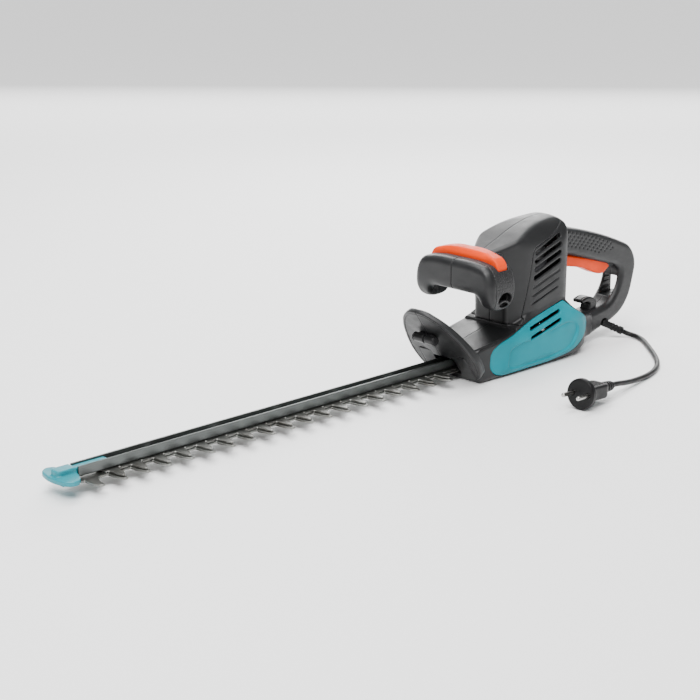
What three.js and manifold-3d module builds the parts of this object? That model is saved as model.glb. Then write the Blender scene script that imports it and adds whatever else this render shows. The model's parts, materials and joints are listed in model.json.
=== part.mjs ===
// Corded hedge trimmer: clamshell housing with a vertical motor, double-sided blade, short mains lead.
// Millimetres. +X runs from the blade tip to the rear handle, +Z is up, Y = 0 is the seam plane.
// The origin is on the flat underside. "Left" is -Y, seen by a user behind the rear handle.
import * as THREE from 'three';
import { mergeVertices } from 'three/addons/utils/BufferGeometryUtils.js';
import Module from 'manifold-3d';

const wasm = await Module();
wasm.setup();

// ---- driving dimensions ----
const GAP = 0.3; // clearance between touching pieces
const PITCH = 26; // distance between blade teeth
const TEETH = 19;
const FIRST_TOOTH = -563; // centre of the first comb tooth
const CHANNEL = { half: 7, floor: 15.6, top: 25.8, wall: 2, x0: -573, x1: -50 };
const COMB = { z0: 10.8, z1: 13, half: 12.5, reach: 32.6 };
const CUTTER = { z0: 13.3, z1: 15.3, half: 11.5, reach: 28.5, offset: 2 };
const BOLT = { pitch: 83.5, first: -484, count: 5, radius: 3, plateX: -28 };
const STROKE = 26;
const CRANK = { x: 23, radius: STROKE / 2, pin: 6 };
const GEAR = { teeth: 61, module: 1, z0: 21.5, z1: 28 };
const PINION_TEETH = 9;
const MOTOR_X = CRANK.x + (GEAR.module * (GEAR.teeth + PINION_TEETH)) / 2;
const STATOR = { radius: 29, bore: 17, z0: 64, z1: 122 };
const WALL = 3;
const PANEL = 2.6; // thickness of the coloured side panels
const HANDLE_HALF = 16;
const GUARD = { x: -57.2, lean: (35.6 * Math.PI) / 180, sweep: 5, half: 53, thick: 3.2, rim: 7.5 };
const CORD_RADIUS = 3.1;
const PLUG = { x: -46, y: -174, z: 18.1, radius: 17.5, tilt: 0.075, turn: 0.09 };

// ---- colours ----
const paint = (color, roughness, metalness = 0) =>
  new THREE.MeshStandardMaterial({ color, roughness, metalness });
const charcoal = paint(0x3b3c3e, 0.5);
const softGrip = paint(0x2f3032, 0.8);
const turquoise = paint(0x00a6b8, 0.4);
const orange = paint(0xf4601f, 0.4);
const black = paint(0x141414, 0.6);
const rubber = paint(0x18181a, 0.85);
const steel = paint(0xb9bcbe, 0.3, 1);
const darkSteel = paint(0x55585a, 0.4, 0.9);
const copper = paint(0xb06a38, 0.35, 1);
const brass = paint(0xc9a24a, 0.35, 1);
const aluminium = paint(0xa9acae, 0.45, 0.9);

const model = new THREE.Group();

// ---- solids ----
function toSolid(geometry) {
  let bare = geometry.clone();
  bare.deleteAttribute('normal');
  bare.deleteAttribute('uv');
  bare = mergeVertices(bare, 1e-4);
  const corners = bare.index.array;
  const triangles = [];
  for (let i = 0; i < corners.length; i += 3) {
    const [a, b, c] = [corners[i], corners[i + 1], corners[i + 2]];
    if (a !== b && b !== c && c !== a) triangles.push(a, b, c);
  }
  return new wasm.Manifold(
    new wasm.Mesh({
      numProp: 3,
      vertProperties: Float32Array.from(bare.attributes.position.array),
      triVerts: Uint32Array.from(triangles),
    }),
  );
}

function toGeometry(solid) {
  const mesh = solid.getMesh();
  const geometry = new THREE.BufferGeometry();
  geometry.setAttribute('position', new THREE.BufferAttribute(mesh.vertProperties, 3));
  geometry.setIndex(new THREE.BufferAttribute(mesh.triVerts, 1));
  return geometry;
}

function add(name, solid, material) {
  const mesh = new THREE.Mesh(toGeometry(solid), material);
  mesh.name = name;
  model.add(mesh);
}

const join = (...solids) => solids.reduce((a, b) => a.add(b));
const cut = (solid, ...tools) => tools.reduce((a, b) => a.subtract(b), solid);

// ---- outlines: lists of [a, b, corner radius] ----
function outline(points, segments) {
  const shape = new THREE.Shape();
  const count = points.length;
  points.forEach(([a, b, radius = 0], i) => {
    const corner = new THREE.Vector2(a, b);
    const before = new THREE.Vector2(...points[(i + count - 1) % count]).sub(corner);
    const after = new THREE.Vector2(...points[(i + 1) % count]).sub(corner);
    const reach = Math.min(radius, before.length() / 2, after.length() / 2);
    const start = corner.clone().add(before.setLength(reach));
    const end = corner.clone().add(after.setLength(reach));
    if (i === 0) shape.moveTo(start.x, start.y);
    else shape.lineTo(start.x, start.y);
    if (reach > 0) shape.quadraticCurveTo(a, b, end.x, end.y);
  });
  shape.closePath();
  const dots = shape.getPoints(segments);
  return new THREE.Shape(dots.filter((dot, i) => dot.distanceTo(dots[(i + 1) % dots.length]) > 1e-3));
}

// moves every side of an outline inwards by t
function inset(points, t) {
  const count = points.length;
  const turn = points.reduce((sum, [a, b], i) => {
    const [c, d] = points[(i + 1) % count];
    return sum + a * d - c * b;
  }, 0);
  const side = Math.sign(turn) * t;
  return points.map(([a, b, radius = 0], i) => {
    const [pa, pb] = points[(i + count - 1) % count];
    const [na, nb] = points[(i + 1) % count];
    const u = new THREE.Vector2(a - pa, b - pb).normalize();
    const v = new THREE.Vector2(na - a, nb - b).normalize();
    const scale = side / (1 + u.dot(v));
    return [a - (u.y + v.y) * scale, b + (u.x + v.x) * scale, radius];
  });
}

// a symmetric outline from its half: [along, half width, radius], from one end to the other
const mirrored = (half) => [
  ...half,
  ...half.map(([a, b, radius]) => [a, -b, radius]).reverse(),
];

const mirroredAcross = (half) => [
  ...half,
  ...half.map(([a, b, radius]) => [-a, b, radius]).reverse(),
];

function prism(points, from, to, frame, options = {}) {
  const { bevel = 0, curveSegments = 3 } = options;
  const shape = outline(points, curveSegments);
  const geometry = new THREE.ExtrudeGeometry(shape, {
    depth: to - from - 2 * bevel,
    bevelEnabled: bevel > 0,
    bevelThickness: bevel,
    bevelSize: bevel,
    bevelOffset: -bevel,
    bevelSegments: 2,
  });
  geometry.translate(0, 0, from + bevel);
  geometry.applyMatrix4(frame);
  return toSolid(geometry);
}

const axes = (x, y, z) => new THREE.Matrix4().makeBasis(x, y, z);
const X = new THREE.Vector3(1, 0, 0);
const Y = new THREE.Vector3(0, 1, 0);
const Z = new THREE.Vector3(0, 0, 1);
const FRAME_X = axes(Y, Z, X); // outline in (y, z), extruded along +X
const FRAME_Y = axes(X, Z, Y.clone().negate()); // outline in (x, z), extruded along -Y
const FRAME_Z = axes(X, Y, Z);
const alongX = (points, x0, x1, options) => prism(points, x0, x1, FRAME_X, options);
const alongY = (points, y0, y1, options) => prism(points, -y1, -y0, FRAME_Y, options);
const alongZ = (points, z0, z1, options) => prism(points, z0, z1, FRAME_Z, options);

function box(x0, x1, y0, y1, z0, z1) {
  const geometry = new THREE.BoxGeometry(x1 - x0, y1 - y0, z1 - z0);
  geometry.translate((x0 + x1) / 2, (y0 + y1) / 2, (z0 + z1) / 2);
  return toSolid(geometry);
}

// a rod between two heights on an upright axis
function post(x, y, z0, z1, radius, segments = 20) {
  const geometry = new THREE.CylinderGeometry(radius, radius, z1 - z0, segments);
  geometry.rotateX(Math.PI / 2);
  geometry.translate(x, y, (z0 + z1) / 2);
  return toSolid(geometry);
}

// a rod along Y
function crossRod(x, z, y0, y1, radius, segments = 20) {
  const geometry = new THREE.CylinderGeometry(radius, radius, y1 - y0, segments);
  geometry.translate(x, (y0 + y1) / 2, z);
  return toSolid(geometry);
}

// a tapered rod between two points in space
function leaningRod(start, end, r0, r1, segments) {
  const axis = end.clone().sub(start);
  const geometry = new THREE.CylinderGeometry(r1, r0, axis.length(), segments);
  geometry.translate(0, axis.length() / 2, 0);
  geometry.applyQuaternion(new THREE.Quaternion().setFromUnitVectors(Y, axis.clone().normalize()));
  geometry.translate(...start.toArray());
  return toSolid(geometry);
}

const ring = (x, y, z0, z1, outer, inner, segments = 24) =>
  cut(post(x, y, z0, z1, outer, segments), post(x, y, z0 - 1, z1 + 1, inner, segments));

function tube(points, radius, sides, steps) {
  const section = new THREE.Shape();
  section.absarc(0, 0, radius, 0, 2 * Math.PI);
  const path = new THREE.CatmullRomCurve3(points.map((p) => new THREE.Vector3(...p)));
  return toSolid(
    new THREE.ExtrudeGeometry(section, { steps, curveSegments: sides, extrudePath: path }),
  );
}

// ---- housing ----
const BODY_SIDE = [
  [-54, 0, 3], [99, 0, 10], [119, 8, 14], [139, 12, 14], [172, 11, 2], [172, 36, 2], [150, 40, 10],
  [128, 48, 14], [106, 61, 14], [90, 78, 8], [60, 71, 20], [30, 68, 16], [13, 57, 12], [-3, 51.5, 20],
  [-84, 41, 2],
];
const BODY_PLAN = mirrored([
  [-92, 33, 0], [-60, 38, 10], [-20, 43.5, 20], [50, 47, 30], [100, 46, 20], [132, 40, 14],
  [152, 22, 12], [174, 16, 2],
]);
const BODY_FRONT = mirroredAcross([
  [-38, 0, 4], [-48, 16, 10], [-48, 36, 10], [-39.5, 66, 6], [-38, 80, 2],
]);
const TOWER_SIDE = [
  [3, 20, 0], [107, 20, 0], [108, 60, 10], [108, 158, 16], [96, 173, 18], [60, 169, 24], [32, 161, 24],
  [6, 150, 24], [-20, 140, 12], [-20, 132, 8], [3, 80, 16],
];
const TOWER_PLAN = mirrored([
  [-27, 6, 6], [-9, 17, 10], [9, 28, 10], [36, 38, 12], [92, 38, 10], [108, 28, 12],
]);
const TOWER_FRONT = mirroredAcross([
  [-38.5, 10, 0], [-38.5, 66, 10], [-34, 148, 10], [-22, 167, 14], [-6, 172, 6],
]);
const HANDLE_SIDE = [
  [92, 159, 0], [166, 141, 40], [212, 126, 40], [251, 110, 18], [263, 88, 16], [252, 46, 20],
  [236, 27, 12], [214, 18, 12], [196, 13.5, 10], [168, 6, 4], [140, 3, 0], [140, 38, 0], [176, 37, 10],
  [210, 43, 10], [225, 60, 10], [230, 80, 6], [222, 88, 6], [130, 116, 10], [92, 123, 0],
];
const SIDE_PANEL = [
  [-40, 15, 8], [-32, 6.5, 6], [-18, 3, 4], [62, 3.5, 10], [95, 8, 10], [119, 17, 10], [137, 28, 8],
  [139, 38, 6], [129, 47, 8], [105, 60.5, 8], [89, 73, 2], [56, 65.5, 10], [26, 57.5, 10],
  [-4, 47.5, 10], [-26, 42.5, 10], [-39, 34.5, 8],
];
const HOOD_REGION = [
  [-40, 56], [20, 56], [38, 141, 6], [76, 152, 10], [120, 176], [120, 190], [-40, 190],
];

function bodyBlock(t, curveSegments = 3) {
  return alongY(inset(BODY_SIDE, t), -60, 60, { curveSegments })
    .intersect(alongZ(inset(BODY_PLAN, t), -5, 120, { curveSegments }))
    .intersect(alongX(inset(BODY_FRONT, t), -120, 200, { curveSegments }));
}

function towerBlock(t, curveSegments = 3) {
  return alongY(inset(TOWER_SIDE, t), -60, 60, { curveSegments })
    .intersect(alongZ(inset(TOWER_PLAN, t), 0, 200, { curveSegments }))
    .intersect(alongX(inset(TOWER_FRONT, t), -60, 160, { curveSegments }));
}

const handleBlock = alongY(HANDLE_SIDE, -HANDLE_HALF, HANDLE_HALF, { bevel: 5 });
const handleHollow = cut(
  alongY(inset(HANDLE_SIDE, 3.4), 3.4 - HANDLE_HALF, HANDLE_HALF - 3.4, { curveSegments: 2 }),
  box(212, 290, -20, 20, 0, 96), // the rear post stays solid around its slot
);
const bodyOuter = bodyBlock(0);
const bodyInner = bodyBlock(PANEL + GAP + 2.6, 1);
const towerOuter = towerBlock(0);
const towerInner = towerBlock(WALL, 2);
const hollow = join(bodyInner, towerInner, handleHollow);

const POST_SLOT = { half: 9.5, z0: 49.5, z1: 73.5, sideX: 243 };
const TRIGGER_SLOT = [[113, 128], [219, 103], [219, 76], [113, 90]];
const bladeMouth = box(-100, -46, -15, 15, 8.5, 28);
const postSlot = join(
  box(208, 275, -POST_SLOT.half, POST_SLOT.half, POST_SLOT.z0, POST_SLOT.z1),
  box(POST_SLOT.sideX, 275, 0, 20, POST_SLOT.z0, POST_SLOT.z1), // it opens through the right flank too
);
const triggerSlot = alongY(TRIGGER_SLOT, -10, 10);
const RELIEF = { root: new THREE.Vector3(199, -13, 20), tip: new THREE.Vector3(217, -31, 8.6) };
const reliefHole = leaningRod(RELIEF.root.clone().lerp(RELIEF.tip, -0.3), RELIEF.tip, 5.6, 5.6, 12);

function slantedSlots(first, count, drop, length, rise, height, y0, y1) {
  return Array.from({ length: count }, (_, i) => {
    const [x, z] = [first[0] - i * 0.8, first[1] - i * drop];
    const h = height / 2;
    const points = [
      [x, z - h, h], [x + length, z + rise - h, h], [x + length, z + rise + h, h], [x, z + h, h],
    ];
    return alongY(points, y0, y1, { curveSegments: 3 });
  });
}

// housing and hood screws: x, z and the height above the seam of the seat under the head
const SCREWS = [
  [-42, 32, 29], [136, 21, 18], [100, 148, 24], [236, 101, 8], [232, 36, 8],
  [14, 92, 24], [2, 138, 18],
];

// solid screw pillars inside the shell, one half of each pair to each side of the seam
const pillars = SCREWS.map(([x, z]) =>
  crossRod(x, z, -40, 40, 4.6, 12).intersect(join(bodyOuter, towerOuter, handleBlock)),
);

const bores = join(
  ...SCREWS.map(([x, z, seat]) => join(crossRod(x, z, -9, 60, 1.9, 8), crossRod(x, z, seat, 60, 3.9, 10))),
);

// inner walls that carry the gearbox, the stator, the brushes and the rear bearing
const carriers = [-1, 1].map((s) => {
  const wall = (x0, x1, y, z0, z1) => (s < 0 ? box(x0, x1, -60, -y, z0, z1) : box(x0, x1, y, 60, z0, z1));
  return join(
    wall(-13, -10, 25, 2, 15.4), wall(62, 65, 25, 2, 15.4),
    wall(-9, -6, 27, 18.5, 30.7), wall(62, 65, 25, 18.5, 30.7),
    wall(MOTOR_X - 5, MOTOR_X + 5, STATOR.radius + GAP, STATOR.z0 + 4, STATOR.z1 - 4),
    wall(MOTOR_X - 5, MOTOR_X + 5, 26 + GAP, 125, 139),
  );
});
const bearingWall = cut(
  box(MOTOR_X - 16, MOTOR_X + 16, -60, 60, 143, 151),
  post(MOTOR_X, 0, 140, 160, 9.9, 20),
);
const inner = join(...carriers, bearingWall).intersect(join(bodyOuter, towerOuter));

const vents = join(
  ...[-1, 1].flatMap((s) => {
    const [y0, y1] = s < 0 ? [-60, -30] : [30, 60];
    return [
      ...slantedSlots([43, 136], 4, 9.7, 43, 14, 4.8, y0, y1),
      ...slantedSlots([27, 50], 2, 9.9, 52, 11.5, 4.6, y0, y1),
    ];
  }),
);

const PANEL_INNER = 30; // the panels stay on the flanks, this far from the seam
const panelRegion = (t) =>
  cut(alongY(inset(SIDE_PANEL, t), -60, 60), box(-60, 160, -PANEL_INNER - t, PANEL_INNER + t, -5, 90));
const panelSeat = cut(panelRegion(-GAP), bodyBlock(PANEL + GAP));
const hoodRegion = (t) => alongY(inset(HOOD_REGION, t), -60, 60);

// a flat plate under the gearbox, let into the underside
const BASE = { outline: [[-30, 20, 4], [90, 26, 6]], thick: 2.4, screws: [[-22, 10], [80, 10]] };
const baseSeat = alongZ(inset(mirrored(BASE.outline), -GAP), -2, BASE.thick + GAP);
const baseBores = BASE.screws.map(([x, y]) => post(x, y, -1, 5.2, 1.8, 10));
const shell = cut(
  join(cut(join(bodyOuter, towerOuter, handleBlock), hollow), ...pillars, inner),
  bores,
  vents,
  bladeMouth,
  postSlot,
  triggerSlot,
  reliefHole,
  panelSeat,
  baseSeat,
  ...baseBores,
);
const half = (solid, side) =>
  solid.intersect(side < 0 ? box(-700, 400, -80, -GAP / 2, -5, 220) : box(-700, 400, GAP / 2, 80, -5, 220));
const largest = (solid) => solid.decompose().sort((a, b) => b.volume() - a.volume())[0];

for (const [side, word] of [[-1, 'left'], [1, 'right']]) {
  add(`housing_${word}`, largest(half(cut(shell, hoodRegion(0)), side)), charcoal);
  add(`hood_${word}`, largest(half(shell.intersect(hoodRegion(GAP)), side)), charcoal);
  const skin = cut(panelRegion(0).intersect(bodyOuter), bodyBlock(PANEL), vents, towerBlock(-GAP));
  add(`side_panel_${word}`, largest(half(skin, side)), turquoise);
}

const heads = BASE.screws.map(([x, y]) => post(x, y, -1, 1.4, 3.7, 12));
add('base_cover', cut(alongZ(mirrored(BASE.outline), 0, BASE.thick), ...baseBores, ...heads), black);
BASE.screws.forEach(([x, y], i) => {
  add(`base_screw_${i + 1}`, join(post(x, y, 0.3, 1.1, 3.3, 10), post(x, y, 1, 4.8, 1.4, 8)), darkSteel);
});
SCREWS.forEach(([x, z, seat], i) => {
  const screw = join(crossRod(x, z, -7, seat + 0.5, 1.6, 8), crossRod(x, z, seat + GAP, seat + 3, 3.5, 10));
  add(`housing_screw_${i + 1}`, screw, darkSteel);
});

// ---- blade assembly ----
const range = (from, to) => Array.from({ length: to - from }, (_, i) => from + i);

function toothRow(blade, teeth, x0, x1) {
  const { half: base, reach } = blade;
  const lower = [];
  for (const i of teeth) {
    const x = FIRST_TOOTH + i * PITCH + (blade.offset ?? 0);
    lower.push(
      [x - 8.5, base], [x - 6.6, base + 7], [x - 3, reach, 2.2], [x + 2.6, reach, 2.2],
      [x + 4, base + 9], [x + 9.5, base],
    );
  }
  return alongZ(
    [...mirrored([[x0, base, 1], ...lower, [x1, base, 1]])],
    blade.z0,
    blade.z1,
    { curveSegments: 1 },
  );
}

const combBody = toothRow(COMB, range(0, TEETH), -574, 8);
const cutterBody = toothRow(CUTTER, range(1, TEETH), -546, 27);
const boltPlaces = range(0, BOLT.count).map((i) => BOLT.first + i * BOLT.pitch);
const allBolts = [...boltPlaces, BOLT.plateX];
const boltBores = allBolts.map((x) => post(x, 0, 5, 20, BOLT.radius + GAP, 12));
const cutterSlots = allBolts.map((x) =>
  alongZ(
    mirrored([[x - 4, 4, 4], [x + STROKE + 4, 4, 4]]),
    CUTTER.z0 - 1,
    CUTTER.z1 + 1,
    { curveSegments: 3 },
  ),
);
const crankWindow = (radius) => post(CRANK.x, 0, 5, 22, radius, 28);
add('comb_blade', cut(combBody, ...boltBores), steel);
const yoke = alongZ(mirrored([[20, 24, 5], [47, 24, 5]]), CUTTER.z0, CUTTER.z1);
const yokeSlot = alongZ(
  mirrored([
    [CRANK.x + CRANK.radius - CRANK.pin - GAP, CRANK.radius + CRANK.pin + GAP, 6],
    [CRANK.x + CRANK.radius + CRANK.pin + GAP, CRANK.radius + CRANK.pin + GAP, 6],
  ]),
  5,
  22,
);
add('cutter_blade', cut(cutterBody.add(yoke), yokeSlot, ...cutterSlots), steel);

const channelOuter = box(CHANNEL.x0, CHANNEL.x1, -CHANNEL.half, CHANNEL.half, CHANNEL.floor, CHANNEL.top);
const channelInner = box(
  CHANNEL.x0 - 1, CHANNEL.x1 + 1, CHANNEL.wall - CHANNEL.half, CHANNEL.half - CHANNEL.wall,
  CHANNEL.floor + CHANNEL.wall, CHANNEL.top + 1,
);
add('blade_channel', cut(channelOuter, channelInner, ...boltBores), darkSteel);
allBolts.forEach((x, i) => {
  const shank = post(x, 0, 8.2, CHANNEL.floor + CHANNEL.wall + GAP, BOLT.radius, 12);
  const nut = post(x, 0, CHANNEL.floor + CHANNEL.wall + GAP, 22.4, 4.4, 6);
  const head = post(x, 0, 7.6, COMB.z0 - GAP, 5, 12);
  add(`blade_bolt_${i + 1}`, join(shank, nut, head), steel);
});

const guardPlate = alongZ(
  mirrored([[-600, 6, 6], [-596.5, 20, 8], [-588, 26, 5], [-581, 22.5, 4], [-574.5, 9, 2]]),
  15,
  20.5,
  { bevel: 1.5, curveSegments: 4 },
);
const tongueTop = alongZ(mirrored([[-595, 6.5, 6], [-575, 6.5, 0]]), 18, 26.2, { curveSegments: 4 });
const tongueStrip = alongZ(mirrored([[-577, 4.6, 0], [-537, 4.6, 0]]), 18.2, 25.2);
const tipWeb = box(-590, -574.5, -6, 6, 9.5, 19);
add('tip_guard', join(guardPlate, tongueTop, tongueStrip, tipWeb), turquoise);

// ---- hand guard, a swept plate leaning towards the blade tip ----
const GUARD_OUTLINE = mirroredAcross([
  [-36, 3, 6], [-46.5, 12, 10], [-51, 32, 14], [-48.5, 50, 14], [-41, 75, 16], [-29, 95, 12],
  [-13, 107, 8], [-4, 108.5, 2],
]);
function guardSheet(n0, n1, t) {
  const bow = (y) => GUARD.sweep * Math.cos(GUARD.lean) * (y / GUARD.half) ** 2;
  const ys = range(-6, 7).map((i) => i * 10);
  const front = ys.map((y) => [bow(y) + n0, y]);
  const back = ys.map((y) => [bow(y) + n1, y]).reverse();
  const sheet = alongZ([...front, ...back], -20, 140);
  return sheet.intersect(alongX(inset(GUARD_OUTLINE, t), -20, 60));
}
const placeGuard = new THREE.Matrix4()
  .makeTranslation(GUARD.x, 0, 0)
  .multiply(new THREE.Matrix4().makeRotationY(-GUARD.lean));
const turned = (solid, matrix) => toSolid(toGeometry(solid).applyMatrix4(matrix));
const guardRim = cut(guardSheet(0, GUARD.rim, 0), guardSheet(-5, 40, GUARD.thick));
const guardLocal = join(guardSheet(0, GUARD.thick, 0), guardRim);
const guardSolid = cut(
  turned(guardLocal, placeGuard),
  box(-100, -30, -17, 17, 7, 29.5),
  bodyBlock(-GAP),
  box(-200, 0, -80, 80, -10, 1),
);
add('hand_guard', largest(guardSolid), charcoal);

const clipRod = crossRod(-104.5, 55.5, -18, 18, 5.2, 14);
const clipGroove = cut(crossRod(-104.5, 55.5, -1, 1, 8, 14), crossRod(-104.5, 55.5, -1, 1, 3.6, 14));
const clipStem = alongY([[-104, 53], [-90, 60], [-88, 66], [-104, 60]], -12, 12);
const guardClear = turned(guardSheet(-GAP, 40, -4), placeGuard);
add('guard_clip', cut(join(cut(clipRod, clipGroove), clipStem), guardClear), black);

// ---- front handle ----
const ARCH = mirroredAcross([
  [-36, 104, 8], [-41, 87, 5], [-54, 85, 7], [-59, 100, 10], [-58, 122, 14], [-50, 136, 10], [-28, 140, 16],
]);
const HANDLE_FRONT = { x0: -64.5, x1: -22, split: -53 };
const EAR_SIDE = [
  [-66, 150], [-66, 107, 12], [-55, 89, 14], [-41, 83, 12], [-26, 88, 14], [-19, 106, 12], [-19, 150],
];
const archSolid = alongX(ARCH, HANDLE_FRONT.x0, HANDLE_FRONT.x1, { bevel: 5, curveSegments: 3 })
  .intersect(alongY(EAR_SIDE, -70, 70));
const archHollow = alongX(inset(ARCH, 5.5), HANDLE_FRONT.x0 + 4, HANDLE_FRONT.x1 - 3.6, { curveSegments: 2 });
const BRIDGE_SIDE = [[-26, 112, 2], [6, 108, 2], [6, 143, 2], [-26, 139, 2]];
const bridge = cut(alongY(BRIDGE_SIDE, -22, 22), towerBlock(-GAP));
const barSlot = box(-44, -26.6, -52, 52, 122, 160);
const earPocket = (s) =>
  alongY([[-50, 93, 6], [-30, 96, 6], [-28, 107, 6], [-47, 104, 6]], s < 0 ? -62 : 53, s < 0 ? -53 : 62);
const handleShell = cut(archSolid, archHollow);
const xSlab = (x0, x1) => box(x0, x1, -80, 80, 60, 180);
const gripShell = handleShell.intersect(xSlab(-80, HANDLE_FRONT.split - GAP / 2));
add('front_handle_left', largest(half(gripShell, -1)), charcoal);
add('front_handle_right', largest(half(gripShell, 1)), charcoal);
const rearShell = cut(
  join(handleShell.intersect(xSlab(HANDLE_FRONT.split + GAP / 2, -10)), bridge),
  barSlot,
  earPocket(-1),
  earPocket(1),
  towerBlock(-GAP),
);
add('front_handle_back', largest(rearShell), softGrip);

const BAR_SIDE = [[-43.4, 128], [-43.4, 143, 2], [-40, 148.5, 2], [-28, 151, 2], [-27.2, 128]];
const BAR_FRONT = mirroredAcross([[-51, 128], [-51.3, 136, 3], [-46, 143.5, 6], [-20, 150.5, 14]]);
add('switch_bar', alongY(BAR_SIDE, -60, 60).intersect(alongX(BAR_FRONT, -60, -10)), orange);
add('front_switch', box(-45, -26, -12, 12, 109.8, 122), black);

// a coil spring standing on z0
function spring(x, y, z0, z1, radius, turns) {
  const wire = 0.6;
  const points = range(0, turns * 8 + 1).map((i) => {
    const angle = (i * Math.PI) / 4;
    const z = z0 + wire + ((z1 - z0 - 2 * wire) * i) / (turns * 8);
    return [x + radius * Math.cos(angle), y + radius * Math.sin(angle), z];
  });
  return tube(points, wire, 3, turns * 8);
}
add('bar_spring', spring(-35, 24, 109.8, 127.7, 3.5, 4), steel);
add('trigger_spring', spring(178, 0, 104.4, 131, 3.5, 4), steel);

// ---- trigger, hinged at its front end ----
const TRIGGER_PIN = { x: 121, z: 113 };
const TRIGGER = [
  [115, 119, 3], [206, 97, 3], [214.5, 88.5, 1], [203, 81, 2], [193, 81.5, 6], [182, 86, 10], [161, 95, 20],
  [131, 101, 10], [115, 104, 2],
];
add(
  'trigger',
  cut(alongY(TRIGGER, -9.4, 9.4), crossRod(TRIGGER_PIN.x, TRIGGER_PIN.z, -12, 12, 2.3, 12)),
  orange,
);
add('trigger_pin', crossRod(TRIGGER_PIN.x, TRIGGER_PIN.z, -12.2, 12.2, 2, 12), steel);
add('rear_switch', alongY([[140, 125], [168, 117], [171, 127], [143, 135]], -12, 12), black);

// ---- cord hook, strain relief, lead and plug ----
const HOOK = [
  [190, 36], [195, 45, 4], [188, 53, 7], [175, 56, 7], [164, 52.5, 3], [165.5, 48, 2], [174, 49, 4],
  [181, 46, 3], [178, 39, 1],
];
add('cord_hook', cut(alongY(HOOK, -8, 8), alongY(inset(HANDLE_SIDE, -GAP), -20, 20)), black);

add('cord_clamp', box(152, 164, -9, 9, 15, 19), black);
add('strain_relief', leaningRod(RELIEF.root, RELIEF.tip, 5, 4.1, 12), rubber);

const reliefAxis = RELIEF.tip.clone().sub(RELIEF.root).normalize();
const outOfRelief = (distance) => RELIEF.tip.clone().addScaledVector(reliefAxis, distance).toArray();
const plugTurn = new THREE.Matrix4()
  .makeTranslation(PLUG.x, PLUG.y, PLUG.z)
  .multiply(new THREE.Matrix4().makeRotationZ(PLUG.turn))
  .multiply(new THREE.Matrix4().makeRotationY(PLUG.tilt));
const plugPoint = (x) => new THREE.Vector3(x, 0, 0).applyMatrix4(plugTurn);
const PLUG_LENGTH = 64;
const cordEnd = plugPoint(PLUG_LENGTH + GAP);
const CORD = [
  outOfRelief(0.4), outOfRelief(8), [224, -46.5, 3.9], [219, -60, 3.3], [208, -74, 3.3],
  [193, -91, 3.3], [174, -111.5, 3.3], [152.5, -131, 3.3], [131, -144.5, 3.3], [106.5, -153.5, 3.5],
  [79.5, -159, 5], [48, -164.5, 8.8],
  plugPoint(PLUG_LENGTH + 8).toArray(), cordEnd.toArray(),
];
add('power_cord', tube(CORD, CORD_RADIUS, 5, 24), rubber);

const rodX = (x0, x1, r0, r1, segments) => {
  const geometry = new THREE.CylinderGeometry(r1, r0, x1 - x0, segments);
  geometry.rotateZ(-Math.PI / 2);
  geometry.translate((x0 + x1) / 2, 0, 0);
  return toSolid(geometry);
};
const plugGrip = alongZ(mirrored([[5, 13, 3], [16, 12, 4], [36, 12.5, 3], [41, 9, 3]]), -8, 8).intersect(
  alongX(mirroredAcross([[-13, -8, 4], [-13, 8, 4]]), 0, 60),
);
const plugRibs = range(0, 4).map((i) => rodX(42.5 + i * 5, 45.5 + i * 5, 6.6 - i * 0.4, 6.4 - i * 0.4, 12));
const pinSides = [-9.5, 9.5];
const pinBores = pinSides.map((y) => rodX(-20, 3, 2.7, 2.7, 12).translate(0, y, 0));
const plugBody = cut(
  join(rodX(0, 7, PLUG.radius, PLUG.radius, 20), plugGrip, rodX(38, PLUG_LENGTH, 5.2, 4.2, 12), ...plugRibs),
  ...pinBores,
);
add('plug_body', turned(plugBody, plugTurn), rubber);
pinSides.forEach((y, i) => {
  const pin = rodX(-19, 2.6, 2.4, 2.4, 12).translate(0, y, 0);
  add(`plug_pin_${i + 1}`, turned(pin, plugTurn), steel);
});

// ---- drive ----
function gearOutline(teeth, addendum, dedendum, phase) {
  const pitchRadius = (GEAR.module * teeth) / 2;
  const step = (2 * Math.PI) / teeth;
  const shape = new THREE.Shape();
  const profile = [[-0.36, -dedendum], [-0.12, addendum], [0.12, addendum], [0.36, -dedendum]];
  for (let i = 0; i < teeth; i++) {
    for (const [share, height] of profile) {
      const angle = phase + (i + share) * step;
      const radius = pitchRadius + height;
      const [x, y] = [radius * Math.cos(angle), radius * Math.sin(angle)];
      if (i === 0 && share === profile[0][0]) shape.moveTo(x, y);
      else shape.lineTo(x, y);
    }
  }
  shape.closePath();
  return shape;
}
function gearSolid(teeth, addendum, dedendum, phase, x, z0, z1) {
  const geometry = new THREE.ExtrudeGeometry(gearOutline(teeth, addendum, dedendum, phase), {
    depth: z1 - z0,
    bevelEnabled: false,
  });
  geometry.translate(x, 0, z0);
  return toSolid(geometry);
}
const AXLE = { radius: 4, top: 40 };
const gearBody = join(
  gearSolid(GEAR.teeth, 0.55, 0.85, Math.PI / GEAR.teeth, CRANK.x, GEAR.z0, GEAR.z1),
  post(CRANK.x, 0, 16.4, GEAR.z0 + 0.5, 20, 28),
  post(CRANK.x + CRANK.radius, 0, 15.6, 17, CRANK.pin, 16),
  post(CRANK.x, 0, GEAR.z1 - 0.5, 30.4, 8, 16),
);
add('drive_gear', cut(gearBody, post(CRANK.x, 0, 16.9, 40, AXLE.radius + GAP, 16)), brass);
add('gear_axle', post(CRANK.x, 0, 17.2, AXLE.top, AXLE.radius, 16), steel);
const plateOutline = mirrored([[-46, 24, 4], [-10, 33, 6], [66, 33, 6]]);
add(
  'blade_plate',
  cut(alongZ(plateOutline, CHANNEL.floor, CHANNEL.floor + CHANNEL.wall), crankWindow(21), ...boltBores),
  aluminium,
);
const coverBores = [post(CRANK.x, 0, 20, 60, AXLE.radius + GAP, 16), post(MOTOR_X, 0, 20, 60, 6, 16)];
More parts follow.
